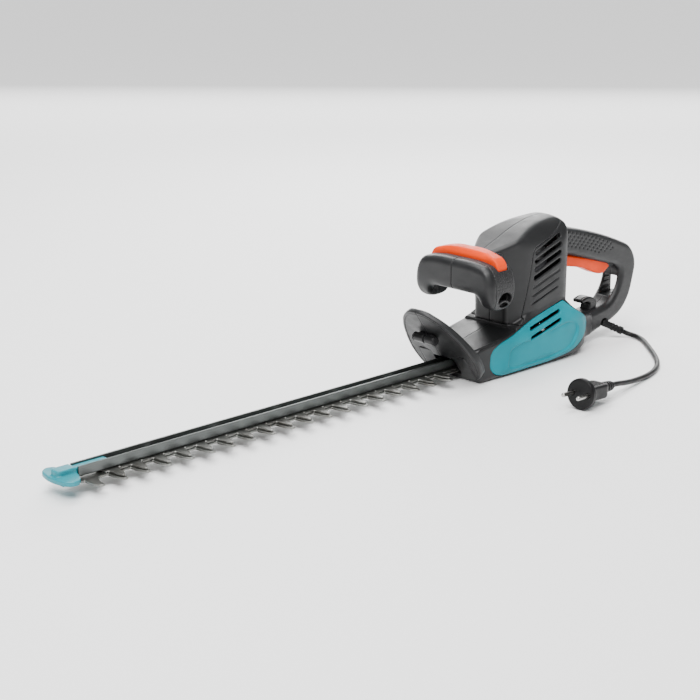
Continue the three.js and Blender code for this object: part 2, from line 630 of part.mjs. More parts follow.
const coverPlate = alongZ(mirrored([[-12, 24, 8], [0, 32, 8], [74, 32, 8]]), 31, 34.5);
const bearingSeat = post(MOTOR_X, 0, 34.6, 60, 11 + GAP, 20);
add(
  'gear_cover',
  cut(join(coverPlate, post(MOTOR_X, 0, 34, 42, 14, 20)), ...coverBores, bearingSeat),
  aluminium,
);
add('front_bearing', ring(MOTOR_X, 0, 34.9, 41.6, 11, 4 + GAP, 20), steel);
const pinion = gearSolid(PINION_TEETH, 0.55, 0.85, Math.PI, MOTOR_X, GEAR.z0 + 0.5, 29.5);
const shaft = post(MOTOR_X, 0, 21.5, 154, 3.6, 14);
add('motor_shaft', join(pinion, shaft), steel);
const onShaft = (z0, z1, radius, segments) => ring(MOTOR_X, 0, z0, z1, radius, 3.6 + GAP, segments);
const blades = range(0, 9).map((i) => {
  const geometry = new THREE.BoxGeometry(15, 1.6, 8);
  geometry.translate(19.5, 0, 53);
  geometry.rotateZ((i * 2 * Math.PI) / 9);
  geometry.translate(MOTOR_X, 0, 0);
  return toSolid(geometry);
});
add('cooling_fan', join(onShaft(47.5, 49.5, 27.5, 24), onShaft(47.5, 58, 13, 18), ...blades), black);
add('armature_core', onShaft(68, 118, 15.5, 20), copper);
add('commutator', onShaft(121, 135, 10, 20), brass);
add('stator', ring(MOTOR_X, 0, STATOR.z0, STATOR.z1, STATOR.radius, STATOR.bore, 28), darkSteel);
const brushRing = ring(MOTOR_X, 0, 124, 140, 26, 19, 24);
add('brush_ring', brushRing, black);
[-1, 1].forEach((s, i) => {
  const [y0, y1] = s < 0 ? [-18.6, -10.3] : [10.3, 18.6];
  add(`brush_${i + 1}`, box(MOTOR_X - 3, MOTOR_X + 3, y0, y1, 125.5, 132), darkSteel);
});
add('rear_bearing', ring(MOTOR_X, 0, 144, 150, 9.5, 3.6 + GAP, 20), steel);

export default model;
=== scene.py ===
"""Looks for the corded hedge trimmer.

Sizes here are millimetres in the row frame, turned into metres as meshes are made. The moulded pieces are
made from signed distance fields: outlines are drawn in side, plan and front view, met or joined with
rounded edges, and the surface where the field is zero becomes the mesh.
"""

import json
import math

import bmesh
import bpy
import numpy as np
import openvdb
from mathutils import Matrix, Vector


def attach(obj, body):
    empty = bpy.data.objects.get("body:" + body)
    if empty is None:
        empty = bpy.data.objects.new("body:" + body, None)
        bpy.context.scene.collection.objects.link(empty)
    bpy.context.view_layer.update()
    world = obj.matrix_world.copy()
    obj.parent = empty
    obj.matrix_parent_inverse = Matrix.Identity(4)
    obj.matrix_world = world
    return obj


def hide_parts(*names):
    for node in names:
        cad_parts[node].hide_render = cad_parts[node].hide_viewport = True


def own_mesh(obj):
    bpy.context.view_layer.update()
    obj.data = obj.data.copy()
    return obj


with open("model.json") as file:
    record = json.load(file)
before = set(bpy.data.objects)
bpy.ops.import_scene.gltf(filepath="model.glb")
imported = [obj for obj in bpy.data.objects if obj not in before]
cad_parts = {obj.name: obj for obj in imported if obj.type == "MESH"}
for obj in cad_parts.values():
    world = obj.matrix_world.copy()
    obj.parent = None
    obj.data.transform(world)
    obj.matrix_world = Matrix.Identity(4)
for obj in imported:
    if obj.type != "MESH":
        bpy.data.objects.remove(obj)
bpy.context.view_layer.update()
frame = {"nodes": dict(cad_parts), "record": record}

MM = 0.001
GAP = 0.3  # clearance between touching pieces
HALF_SEAM = 0.15  # half the gap between the left and right mouldings


# ---- camera, floor and light ----
def add_camera():
    data = bpy.data.cameras.new("camera")
    data.lens = 82.3
    data.sensor_width = 36.0
    camera = bpy.data.objects.new("camera", data)
    camera.location = (-1.3472, -1.1876, 0.546)
    camera.rotation_euler = (math.radians(90 - 16.35), 0, math.radians(-43.5))
    bpy.context.scene.collection.objects.link(camera)
    bpy.context.scene.camera = camera


def add_light(name, location, target, size, power):
    data = bpy.data.lights.new(name, "AREA")
    data.shape = "RECTANGLE"
    data.size, data.size_y = size
    data.energy = power
    light = bpy.data.objects.new(name, data)
    light.location = location
    light.rotation_euler = (Vector(target) - Vector(location)).to_track_quat("-Z", "Y").to_euler()
    bpy.context.scene.collection.objects.link(light)


def add_sun(direction, strength):
    """A wide, soft light from one side of the sky, so the floor stays pale to its far edge."""
    data = bpy.data.lights.new("sun", "SUN")
    data.energy = strength
    data.angle = math.radians(50)
    light = bpy.data.objects.new("sun", data)
    light.rotation_euler = Vector(direction).to_track_quat("Z", "Y").to_euler()
    bpy.context.scene.collection.objects.link(light)


def add_studio():
    world = bpy.data.worlds.new("studio")
    world.use_nodes = True
    world.node_tree.nodes["Background"].inputs["Color"].default_value = (1, 1, 1, 1)
    world.node_tree.nodes["Background"].inputs["Strength"].default_value = 0.36
    bpy.context.scene.world = world
    add_light("key", (-1.6, -0.7, 1.7), (-0.1, 0, 0.05), (0.6, 0.8), 34)
    add_light("top", (-0.1, 0.4, 1.6), (-0.1, 0, 0), (1.4, 0.5), 26)
    add_light("rim", (0.9, 0.9, 0.9), (0.05, 0, 0.08), (0.8, 0.8), 12)
    add_light("back", (1.7, 1.8, 0.75), (-0.1, 0, 0.1), (3.2, 0.8), 46)
    add_sun((-0.3, -0.35, 1.0), 3.7)
    bpy.ops.mesh.primitive_plane_add(size=60, location=(0, 0, 0))
    floor = bpy.context.object
    floor.name = "floor"
    floor.data.materials.append(floor_paint())


# ---- materials ----
def node_material(name):
    material = bpy.data.materials.new(name)
    material.use_nodes = True
    tree = material.node_tree
    return material, tree, tree.nodes["Principled BSDF"]


def floor_paint():
    material, _, shader = node_material("floor_paint")
    shader.inputs["Base Color"].default_value = (0.92, 0.92, 0.92, 1)
    shader.inputs["Roughness"].default_value = 0.7
    return material


def noise(tree, scale, detail=3.0, roughness=0.5, stretch=(1, 1, 1)):
    coordinates = tree.nodes.new("ShaderNodeTexCoord")
    mapping = tree.nodes.new("ShaderNodeMapping")
    mapping.inputs["Scale"].default_value = stretch
    texture = tree.nodes.new("ShaderNodeTexNoise")
    texture.inputs["Scale"].default_value = scale
    texture.inputs["Detail"].default_value = detail
    texture.inputs["Roughness"].default_value = roughness
    tree.links.new(coordinates.outputs["Object"], mapping.inputs["Vector"])
    tree.links.new(mapping.outputs["Vector"], texture.inputs["Vector"])
    return texture.outputs["Fac"]


def cells(tree, scale):
    coordinates = tree.nodes.new("ShaderNodeTexCoord")
    texture = tree.nodes.new("ShaderNodeTexVoronoi")
    texture.inputs["Scale"].default_value = scale
    tree.links.new(coordinates.outputs["Object"], texture.inputs["Vector"])
    return texture.outputs["Distance"]


def remap(tree, value, low, high, to_low, to_high):
    node = tree.nodes.new("ShaderNodeMapRange")
    node.inputs["From Min"].default_value = low
    node.inputs["From Max"].default_value = high
    node.inputs["To Min"].default_value = to_low
    node.inputs["To Max"].default_value = to_high
    tree.links.new(value, node.inputs["Value"])
    return node.outputs["Result"]


def mix(tree, factor, first, second):
    node = tree.nodes.new("ShaderNodeMix")
    node.data_type = "RGBA"
    for socket, value in (("A", first), ("B", second)):
        target = [s for s in node.inputs if s.name == socket and s.type == "RGBA"][0]
        if isinstance(value, tuple):
            target.default_value = (*value, 1)
        else:
            tree.links.new(value, target)
    tree.links.new(factor, node.inputs["Factor"])
    return [s for s in node.outputs if s.type == "RGBA"][0]


def bump(tree, height, distance, strength=1.0, normal=None):
    node = tree.nodes.new("ShaderNodeBump")
    node.inputs["Distance"].default_value = distance * MM
    node.inputs["Strength"].default_value = strength
    tree.links.new(height, node.inputs["Height"])
    if normal is not None:
        tree.links.new(normal, node.inputs["Normal"])
    return node.outputs["Normal"]


def worn_edges(tree):
    """0 on flats and 1 on sharp convex edges."""
    geometry = tree.nodes.new("ShaderNodeNewGeometry")
    return remap(tree, geometry.outputs["Pointiness"], 0.53, 0.6, 0.0, 1.0)


def moulded(name, colour, roughness, grain=0.05, grain_scale=1400.0, wear=0.3, shine=0.38):
    """Moulded plastic: fine spark-eroded grain, faint colour drift, a little rubbed on the edges."""
    material, tree, shader = node_material(name)
    drift = noise(tree, 18.0, 4.0)
    darker = tuple(c * 0.86 for c in colour)
    lighter = tuple(min(1.0, c * 1.12 + 0.004) for c in colour)
    base = mix(tree, remap(tree, drift, 0.35, 0.65, 0.0, 1.0), darker, lighter)
    rubbed = tuple(min(1.0, c * 1.5 + 0.02) for c in colour)
    edge = worn_edges(tree)
    base = mix(tree, remap(tree, edge, 0.0, 1.0, 0.0, wear), base, rubbed)
    tree.links.new(base, shader.inputs["Base Color"])
    scuffs = noise(tree, 60.0, 6.0, 0.65, (1, 1, 3))
    rough = remap(tree, scuffs, 0.3, 0.7, roughness - 0.07, roughness + 0.08)
    tree.links.new(rough, shader.inputs["Roughness"])
    shader.inputs["Specular IOR Level"].default_value = shine
    fine = noise(tree, grain_scale, 2.0, 0.6)
    tree.links.new(bump(tree, fine, grain), shader.inputs["Normal"])
    return material


def pitted(name, colour, roughness, pit_scale=650.0, depth=0.18):
    """Soft grip or textured plastic covered in fine pits."""
    material, tree, shader = node_material(name)
    pits = remap(tree, cells(tree, pit_scale), 0.1, 0.55, 0.0, 1.0)
    darker = tuple(c * 0.7 for c in colour)
    tree.links.new(mix(tree, pits, darker, colour), shader.inputs["Base Color"])
    rough = remap(tree, noise(tree, 90.0, 4.0), 0.3, 0.7, roughness - 0.08, roughness + 0.08)
    tree.links.new(rough, shader.inputs["Roughness"])
    tree.links.new(bump(tree, pits, depth), shader.inputs["Normal"])
    return material


def metal(name, colour, roughness, brushed, scale, depth, stain=0.0, stain_colour=(0, 0, 0)):
    """Metal with grinding lines along one axis and, where asked, a blotchy film of oil or oxide."""
    material, tree, shader = node_material(name)
    lines = noise(tree, scale, 5.0, 0.6, brushed)
    darker = tuple(c * 0.72 for c in colour)
    base = mix(tree, remap(tree, lines, 0.3, 0.7, 0.0, 1.0), darker, colour)
    if stain > 0:
        blotches = remap(tree, noise(tree, 35.0, 5.0, 0.6), 0.45, 0.7, 0.0, stain)
        base = mix(tree, blotches, base, stain_colour)
    tree.links.new(base, shader.inputs["Base Color"])
    shader.inputs["Metallic"].default_value = 1.0
    rough = remap(tree, lines, 0.25, 0.75, roughness - 0.06, roughness + 0.12)
    tree.links.new(rough, shader.inputs["Roughness"])
    tree.links.new(bump(tree, lines, depth), shader.inputs["Normal"])
    return material


CHARCOAL = (0.0075, 0.0078, 0.0085)
TURQUOISE = (0.0, 0.2, 0.245)
ORANGE = (0.74, 0.048, 0.0)
MATERIALS = {
    "charcoal_plastic": moulded("charcoal_plastic", CHARCOAL, 0.42),
    "soft_grip": pitted("soft_grip", (0.009, 0.0092, 0.01), 0.5, 430.0, 0.5),
    "turquoise_plastic": moulded("turquoise_plastic", TURQUOISE, 0.4, wear=0.1, shine=0.12),
    "orange_plastic": moulded("orange_plastic", ORANGE, 0.4, wear=0.1, shine=0.12),
    "black_plastic": moulded("black_plastic", (0.003, 0.003, 0.0034), 0.32, shine=0.3),
    "cord_rubber": moulded("cord_rubber", (0.003, 0.003, 0.0034), 0.4, 0.08, 900.0, wear=0.1, shine=0.2),
    "blade_steel": metal(
        "blade_steel", (0.27, 0.275, 0.26), 0.34, (40, 1, 40), 30.0, 0.02, 0.6, (0.09, 0.08, 0.07)
    ),
    "bar_steel": metal(
        "bar_steel", (0.15, 0.16, 0.157), 0.45, (1, 30, 30), 26.0, 0.03, 0.6, (0.16, 0.18, 0.17)
    ),
    "bolt_steel": metal("bolt_steel", (0.6, 0.6, 0.59), 0.28, (30, 30, 1), 60.0, 0.01),
    "screw_steel": metal("screw_steel", (0.09, 0.09, 0.095), 0.4, (30, 30, 30), 60.0, 0.02),
    "gear_metal": metal(
        "gear_metal", (0.2, 0.185, 0.15), 0.35, (20, 20, 20), 50.0, 0.03, 0.6, (0.12, 0.09, 0.04)
    ),
    "gearbox_aluminium": metal("gearbox_aluminium", (0.16, 0.16, 0.165), 0.5, (8, 8, 8), 120.0, 0.06),
    "lamination_steel": metal("lamination_steel", (0.07, 0.07, 0.075), 0.5, (1, 1, 90), 25.0, 0.12),
    "winding_copper": metal("winding_copper", (0.4, 0.17, 0.07), 0.33, (2, 2, 60), 40.0, 0.15),
    "pin_metal": metal("pin_metal", (0.5, 0.49, 0.47), 0.25, (1, 20, 20), 40.0, 0.01),
    "carbon": moulded("carbon", (0.02, 0.02, 0.02), 0.55),
}
FINE_TIP = pitted("pitted_turquoise", (0.0, 0.2, 0.245), 0.42, 900.0, 0.12)


# ---- signed distance fields ----
class Block:
    """A box of sample points round a piece."""

    def __init__(self, low, high, step):
        self.low, self.step = low, step
        axes = []
        for i in range(3):
            count = int(math.ceil((high[i] - low[i]) / step)) + 1
            shape = [1, 1, 1]
            shape[i] = count
            axes.append((low[i] + step * np.arange(count, dtype=np.float32)).reshape(shape))
        self.x, self.y, self.z = axes
        self.shape = tuple(axis.size for axis in axes)


def rounded_outline(points, segments=8):
    """The corners [a, b, radius] as a closed line of points."""
    line = []
    count = len(points)
    for i, corner in enumerate(points):
        radius = corner[2] if len(corner) > 2 else 0
        here = np.array(corner[:2], float)
        before = np.array(points[i - 1][:2], float) - here
        after = np.array(points[(i + 1) % count][:2], float) - here
        reach = min(radius, np.linalg.norm(before) / 2, np.linalg.norm(after) / 2)
        if reach <= 0:
            line.append(here)
            continue
        start = here + before / np.linalg.norm(before) * reach
        end = here + after / np.linalg.norm(after) * reach
        for t in np.linspace(0, 1, segments + 1):
            line.append((1 - t) ** 2 * start + 2 * t * (1 - t) * here + t * t * end)
    return np.array(line)


def mirrored(half):
    return half + [(p[0], -p[1], *p[2:]) for p in reversed(half)]


def mirrored_across(half):
    return half + [(-p[0], p[1], *p[2:]) for p in reversed(half)]


def outline_field(points, u, v, segments=8):
    """Signed distance to a closed outline, negative inside, at every pair of u and v."""
    line = rounded_outline(points, segments)
    shape = np.broadcast_shapes(u.shape, v.shape)
    nearest = np.full(shape, 1e9, np.float32)
    inside = np.zeros(shape, bool)
    for (ax, ay), (bx, by) in zip(line, np.roll(line, -1, axis=0)):
        ex, ey = bx - ax, by - ay
        length = ex * ex + ey * ey
        if length < 1e-9:
            continue
        du, dv = u - np.float32(ax), v - np.float32(ay)
        t = np.clip((du * np.float32(ex) + dv * np.float32(ey)) / np.float32(length), 0, 1)
        np.minimum(nearest, (du - t * np.float32(ex)) ** 2 + (dv - t * np.float32(ey)) ** 2, out=nearest)
        if abs(ey) > 1e-9:
            crossing = (v >= min(ay, by)) & (v < max(ay, by))
            inside ^= crossing & (u < ax + (v - ay) * (ex / ey))
    distance = np.sqrt(nearest)
    return np.where(inside, -distance, distance).astype(np.float32)


def meet(a, b, radius=0.0):
    """What is in both, with its edge rounded."""
    if radius <= 0:
        return np.maximum(a, b)
    return np.minimum(-radius, np.maximum(a, b)) + np.hypot(
        np.maximum(a + radius, 0), np.maximum(b + radius, 0)
    )


def join(a, b, radius=0.0):
    """What is in either, with a fillet where they meet."""
    return -meet(-a, -b, radius)


def carve(a, b, radius=0.0):
    """a without b, with its edge rounded."""
    return meet(a, -b, radius)


def slab(axis, low, high):
    return np.maximum(low - axis, axis - high)


def box_field(block, low, high, radius=0.0):
    field = meet(slab(block.x, low[0], high[0]), slab(block.y, low[1], high[1]), radius)
    return meet(field, slab(block.z, low[2], high[2]), radius)


def capsule(block, start, end, radius):
    """A rod with round ends between two points."""
    start, end = np.array(start, float), np.array(end, float)
    axis = end - start
    dx, dy, dz = block.x - start[0], block.y - start[1], block.z - start[2]
    t = np.clip((dx * axis[0] + dy * axis[1] + dz * axis[2]) / axis.dot(axis), 0, 1)
    away = np.sqrt((dx - t * axis[0]) ** 2 + (dy - t * axis[1]) ** 2 + (dz - t * axis[2]) ** 2)
    return (away - radius).astype(np.float32)


def rod(block, start, end, radius):
    """A rod with flat ends between two points."""
    start, end = np.array(start, float), np.array(end, float)
    length = np.linalg.norm(end - start)
    axis = (end - start) / length
    dx, dy, dz = block.x - start[0], block.y - start[1], block.z - start[2]
    along = dx * axis[0] + dy * axis[1] + dz * axis[2]
    away = np.sqrt(np.maximum(dx * dx + dy * dy + dz * dz - along * along, 0))
    return np.maximum(away - radius, np.maximum(-along, along - length)).astype(np.float32)


# ---- meshes ----
def largest_island(count, faces):
    """Which points belong to the biggest connected piece."""
    label = np.arange(count)
    edges = np.concatenate([faces[:, [0, 1]], faces[:, [1, 2]], faces[:, [2, 3]]])
    while True:
        low = np.minimum(label[edges[:, 0]], label[edges[:, 1]])
        before = label.copy()
        np.minimum.at(label, edges[:, 0], low)
        np.minimum.at(label, edges[:, 1], low)
        label = label[label]
        label = label[label]
        if np.array_equal(before, label):
            break
    names, sizes = np.unique(label, return_counts=True)
    return label == names[sizes.argmax()]


def make_object(name, points, quads, material):
    mesh = bpy.data.meshes.new(name)
    mesh.vertices.add(len(points))
    mesh.vertices.foreach_set("co", np.asarray(points, np.float32).ravel())
    mesh.loops.add(quads.size)
    mesh.loops.foreach_set("vertex_index", quads.ravel().astype(np.int32))
    mesh.polygons.add(len(quads))
    mesh.polygons.foreach_set("loop_start", np.arange(0, quads.size, 4, dtype=np.int32))
    mesh.polygons.foreach_set("use_smooth", np.full(len(quads), True))
    mesh.update(calc_edges=True)
    mesh.validate()
    mesh.materials.append(material)
    piece = bpy.data.objects.new(name, mesh)
    bpy.context.scene.collection.objects.link(piece)
    return piece


def cast(name, block, field, slot, body="root", *, stands_for, material=None):
    """Turns a field into a piece that stands for its CAD node. Only its largest island is kept."""
    reach = 3 * block.step
    full = np.broadcast_to(field, block.shape)
    grid = openvdb.FloatGrid(background=reach)
    grid.copyFromArray(np.ascontiguousarray(np.clip(full, -reach, reach), dtype=np.float32))
    points, _, quads = grid.convertToPolygons(isovalue=0.0, adaptivity=0.0)
    quads = quads.astype(np.int64)
    kept = largest_island(len(points), quads)
    quads = quads[kept[quads[:, 0]]]
    renumber = np.cumsum(kept) - 1
    points, quads = points[kept], renumber[quads]
    points = (points * block.step + np.array(block.low)) * MM
    piece = make_object(name, points, quads, material or MATERIALS[slot])
    return enlist(piece, body, stands_for)


def enlist(piece, body, stands_for):
    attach(piece, body)
    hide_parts(stands_for)
    return piece


def plate(name, outlines, low, high, bevel, slot, body="root", plane="xy", *, stands_for):
    """A flat plate with chamfered edges: the first outline is its rim and the others are holes."""
    curve = bpy.data.curves.new(name, "CURVE")
    curve.dimensions = "2D"
    curve.fill_mode = "BOTH"
    curve.extrude = ((high - low) / 2 - bevel) * MM
    curve.bevel_depth = bevel * MM
    curve.bevel_resolution = 1
    curve.offset = -bevel * MM
    for line in outlines:
        spline = curve.splines.new("POLY")
        spline.points.add(len(line) - 1)
        spline.use_cyclic_u = True
        for point, (a, b) in zip(spline.points, line):
            point.co = (a * MM, b * MM, 0, 1)
    holder = bpy.data.objects.new(name + "_curve", curve)
    mesh = bpy.data.meshes.new_from_object(holder)
    bpy.data.objects.remove(holder)
    mesh.name = name
    middle = (low + high) / 2 * MM
    turns = {
        "xy": Matrix.Translation((0, 0, middle)),
        "yz": Matrix(((0, 0, 1, middle), (1, 0, 0, 0), (0, 1, 0, 0), (0, 0, 0, 1))),
    }
    mesh.transform(turns[plane])
    weld = bmesh.new()
    weld.from_mesh(mesh)
    bmesh.ops.remove_doubles(weld, verts=weld.verts, dist=1e-6)
    bmesh.ops.recalc_face_normals(weld, faces=weld.faces)
    weld.to_mesh(mesh)
    weld.free()
    mesh.materials.clear()
    mesh.materials.append(MATERIALS[slot])
    piece = bpy.data.objects.new(name, mesh)
    bpy.context.scene.collection.objects.link(piece)
    return enlist(piece, body, stands_for)


def circle(x, y, radius, count=20):
    turn = 2 * math.pi / count
    return [(x + radius * math.cos(i * turn), y + radius * math.sin(i * turn)) for i in range(count)]


# ---- housing ----
BODY_SIDE = [
    (-54, 0, 3), (99, 0, 10), (119, 8, 14), (139, 12, 14), (172, 11, 2), (172, 36, 2), (150, 40, 10),
    (128, 48, 14), (106, 61, 14), (90, 78, 8), (60, 71, 20), (30, 68, 16), (13, 57, 12), (-3, 51.5, 20),
    (-84, 41, 2),
]
BODY_PLAN = mirrored([
    (-92, 33, 0), (-60, 38, 10), (-20, 43.5, 20), (50, 47, 30), (100, 46, 20), (132, 40, 14),
    (152, 22, 12), (174, 16, 2),
])
BODY_FRONT = mirrored_across([(-38, 0, 4), (-48, 16, 8), (-48, 36, 6), (-39.5, 66, 6), (-38, 80, 2)])
TOWER_SIDE = [
    (3, 20, 0), (107, 20, 0), (108, 60, 10), (108, 158, 16), (96, 173, 18), (60, 169, 24), (32, 161, 24),
    (6, 150, 24), (-20, 140, 12), (-20, 132, 8), (3, 80, 16),
]
TOWER_PLAN = mirrored([
    (-27, 6, 6), (-9, 17, 10), (9, 28, 10), (36, 38, 12), (92, 38, 10), (108, 28, 12),
])
TOWER_FRONT = mirrored_across([(-38.5, 10, 0), (-38.5, 66, 10), (-34, 148, 10), (-22, 167, 14), (-6, 172, 6)])
HANDLE_SIDE = [
    (92, 159, 0), (166, 141, 40), (212, 126, 40), (251, 110, 18), (263, 88, 16), (252, 46, 20),
    (236, 27, 12), (214, 18, 12), (196, 13.5, 10), (168, 6, 4), (140, 3, 0), (140, 38, 0), (176, 37, 10),
    (210, 43, 10), (225, 60, 10), (230, 80, 6), (222, 88, 6), (130, 116, 10), (92, 123, 0),
]
SIDE_PANEL = [
    (-40, 15, 8), (-32, 6.5, 6), (-18, 3, 4), (62, 3.5, 10), (95, 8, 10), (119, 17, 10), (137, 28, 8),
    (139, 38, 6), (129, 47, 8), (105, 60.5, 8), (89, 73, 2), (56, 65.5, 10), (26, 57.5, 10),
    (-4, 47.5, 10), (-26, 42.5, 10), (-39, 34.5, 8),
]
HOOD_REGION = [(-40, 56), (20, 56), (38, 141, 6), (76, 152, 10), (120, 176), (120, 190), (-40, 190)]
HANDLE_HALF = 16
BODY_WALL, TOWER_WALL, GRIP_WALL = 5.5, 3.0, 3.6
PANEL = 3.0
PANEL_INNER = 30  # the panels stay on the flanks, this far from the seam
SCREWS = [
    (-42, 32, 29), (136, 21, 18), (100, 148, 24), (236, 101, 8), (232, 36, 8), (14, 92, 24), (2, 138, 18),
]
BASE = [(-30, 20, 4), (90, 26, 6)]
RELIEF_ROOT, RELIEF_TIP = np.array((199, -13, 20)), np.array((217, -31, 8.6))


def slanted_slot(block, x, z, length, rise, height):
    """A slot with round ends in the side view, rising to the rear."""
    axis = np.array((length, rise), float)
    du, dv = block.x - x, block.z - z
    t = np.clip((du * axis[0] + dv * axis[1]) / axis.dot(axis), 0, 1)
    return np.hypot(du - t * axis[0], dv - t * axis[1]) - height / 2


def tower_slots(block):
    """The open vent slots, top to bottom: where each starts, its length and how far it rises."""
    return [slanted_slot(block, 43 - i * 0.8, 136 - i * 9.7, 43, 14, 5.4) for i in range(4)]


def panel_slots(block):
    return [slanted_slot(block, 27 - i * 0.8, 50 - i * 9.9, 52, 11.5, 5.0) for i in range(2)]


def body_field(block, width):
    side = outline_field(BODY_SIDE, block.x, block.z)
    plan = outline_field(BODY_PLAN, block.x, block.y)
    front = outline_field(BODY_FRONT, block.y, block.z)
    body = meet(meet(side, plan, 1.6), front, 1.6)
    # the upper flank leans in above a line that rises to the rear
    lean = math.radians(25)
    line = 36.5 + 0.137 * (block.x + 5)
    flank = (width - 47.2) * math.cos(lean) + (block.z - line) * math.sin(lean)
    body = meet(body, flank, 1.5)
    # the deck falls away slightly from the seam
    deck = (block.z - 43.5 - 0.22 * (block.x + 41)) * 0.97 + 0.05 * width
    body = np.where(block.x < 4, meet(body, deck, 1.0), body).astype(np.float32)
    # a fine bead along the deck's edge
    across = np.hypot(block.z - 47.0 - 0.12 * (block.x + 4), width - 38.8 - 0.06 * (block.x + 4))
    bead = meet(across - 1.5, slab(block.x, -70, 8), 1.0)
    return join(body, bead, 0.8)


def tower_field(block):
    side = outline_field(TOWER_SIDE, block.x, block.z)
    plan = outline_field(TOWER_PLAN, block.x, block.y)
    front = outline_field(TOWER_FRONT, block.y, block.z)
    return meet(meet(side, plan, 4.5), front, 3.5)


class Housing:
    """The fields that the housing's pieces share, on one side of the seam."""

    def __init__(self, side, step=0.7):
        y_range = (-50, 1.4) if side < 0 else (-1.4, 50)
        self.side = side
        self.block = block = Block((-92, y_range[0], -3), (268, y_range[1], 176), step)
        self.width = width = np.abs(block.y)
        self.body = body_field(block, width)
        self.tower = tower_field(block)
        handle_side = outline_field(HANDLE_SIDE, block.x, block.z)
        handle = meet(handle_side, width - HANDLE_HALF, 7.5)
        self.outer = join(join(self.body, self.tower, 2.5), handle, 4.0)
        hollow = join(self.body + BODY_WALL, self.tower + TOWER_WALL)
        grip_hollow = meet(handle_side + GRIP_WALL, width - (HANDLE_HALF - 4), 2)
        post = box_field(block, (212, -40, -10), (290, 40, 96))
        self.hollow = join(hollow, carve(grip_hollow, post))
        self.seam = HALF_SEAM - width
        # further out in front, where the deck is, and behind the tower, where the body's top falls away
        behind = np.minimum((block.x - 92) / 18, (128 - block.x) / 14)
        inner = PANEL_INNER + 8 * np.clip((30 - block.x) / 40, 0, 1) + 12 * np.clip(behind, 0, 1)
        self.panel = np.maximum(outline_field(SIDE_PANEL, block.x, block.z), inner - width)
        self.hood = outline_field(HOOD_REGION, block.x, block.z)
        vent_depth = 28 - width
        self.vents = [meet(slot, vent_depth) for slot in tower_slots(block) + panel_slots(block)]

    def shell(self):
        field = carve(self.outer, self.hollow, 0.5)
        for vent in self.vents:
            field = carve(field, vent, 0.7)
        return field


def dimples(block, width):
    """Staggered rows of small round dents on the flanks of the rear grip."""
    near = Block((108, block.y.min(), 112), (232, block.y.max(), 160), block.step)
    starts = [int(round((near.low[i] - block.low[i]) / block.step)) for i in (0, 2)]
    counts = [near.x.size, near.z.size]
    cut = (slice(starts[0], starts[0] + counts[0]), slice(None), slice(starts[1], starts[1] + counts[1]))
    x, z = block.x[cut[0]], block.z[:, :, cut[2]]
    small = np.full(np.broadcast_shapes(x.shape, block.y.shape, z.shape), 9.0, np.float32)
    for row in range(5):
        for i in range(13):
            cx = 114 + 7.6 * i + (3.8 if row % 2 else 0)
            cz = 147 - 4.1 * row - 0.18 * (cx - 114) - 0.0013 * (cx - 114) ** 2
            np.minimum(small, np.sqrt((x - cx) ** 2 + (z - cz) ** 2 + (width - 16.5) ** 2) - 1.55, out=small)
    field = np.full(block.shape, 9.0, np.float32)
    field[cut] = small
    return field


def shallow_marks(block, width):
    """Blind grooves under the open vents."""
    grooves = [slanted_slot(block, 38 - i * 1.5, 96 - i * 9.7, 45, 14, 2.4 - 0.5 * i) for i in range(3)]
    field = grooves[0]
    for groove in grooves[1:]:
        field = np.minimum(field, groove)
    return meet(field, 35.2 - width)


def housing_piece(h, word):
    block, width = h.block, h.width
    field = h.shell()
    seat = meet(h.panel - 0.35, -(h.body + PANEL + GAP))
    field = carve(field, seat, 0.3)
    field = carve(field, h.hood, 0.6)
    mouth = box_field(block, (-110, -15, 8.5), (-46, 15, 28))
    field = carve(field, mouth, 0.6)
    base_seat = meet(outline_field(mirrored(BASE), block.x, block.y) - GAP, block.z - 2.7)
    field = carve(field, base_seat, 0.3)
    trigger_slot = meet(
        outline_field([(113, 128), (219, 103), (219, 76), (113, 90)], block.x, block.z), width - 10
    )
    field = carve(field, trigger_slot, 0.8)
    level = slab(block.z, 49.5, 73.5)
    loop = meet(meet(level, slab(block.x, 208, 275)), width - 9.5, 1.5)
    if h.side > 0:
        loop = join(loop, meet(meet(level, 243 - block.x), -block.y, 1.0))
        ribs = meet(np.abs(np.mod(block.z, 6) - 3) - 0.7, meet(slab(width, 8.3, 10), block.x - 238))
        loop = carve(loop, ribs, 0.2)
    field = carve(field, loop, 1.2)
    field = carve(field, dimples(block, width), 0.3)
    field = carve(field, shallow_marks(block, width), 0.3)
    if h.side < 0:
        field = carve(field, capsule(block, RELIEF_ROOT, RELIEF_TIP, 5.6), 0.8)
    else:
        for x, z, seat_y in SCREWS:
            if (x, z) not in ((14, 92), (2, 138)):
                field = carve(field, rod(block, (x, seat_y, z), (x, 60, z), 3.9), 0.6)
    field = meet(field, h.seam, 0.9)
    return cast(f"housing_{word}_shell", block, field, "charcoal_plastic", stands_for=f"housing_{word}")


def hood_piece(h, word):
    block = h.block
    field = meet(h.shell(), h.hood + GAP, 0.8)
    if h.side > 0:
        for x, z, seat_y in SCREWS:
            if (x, z) in ((14, 92), (2, 138)):
                field = carve(field, rod(block, (x, seat_y, z), (x, 60, z), 3.9), 0.6)
    field = meet(field, h.seam, 0.9)
    return cast(f"hood_{word}_shell", block, field, "charcoal_plastic", stands_for=f"hood_{word}")


PANEL_FACET = [
    (-13, 12, 6), (-9, 34, 8), (88, 47, 6), (105, 45, 10), (114, 34, 12),
    (100, 16, 12), (62, 9.5, 10), (-2, 9, 8),
]


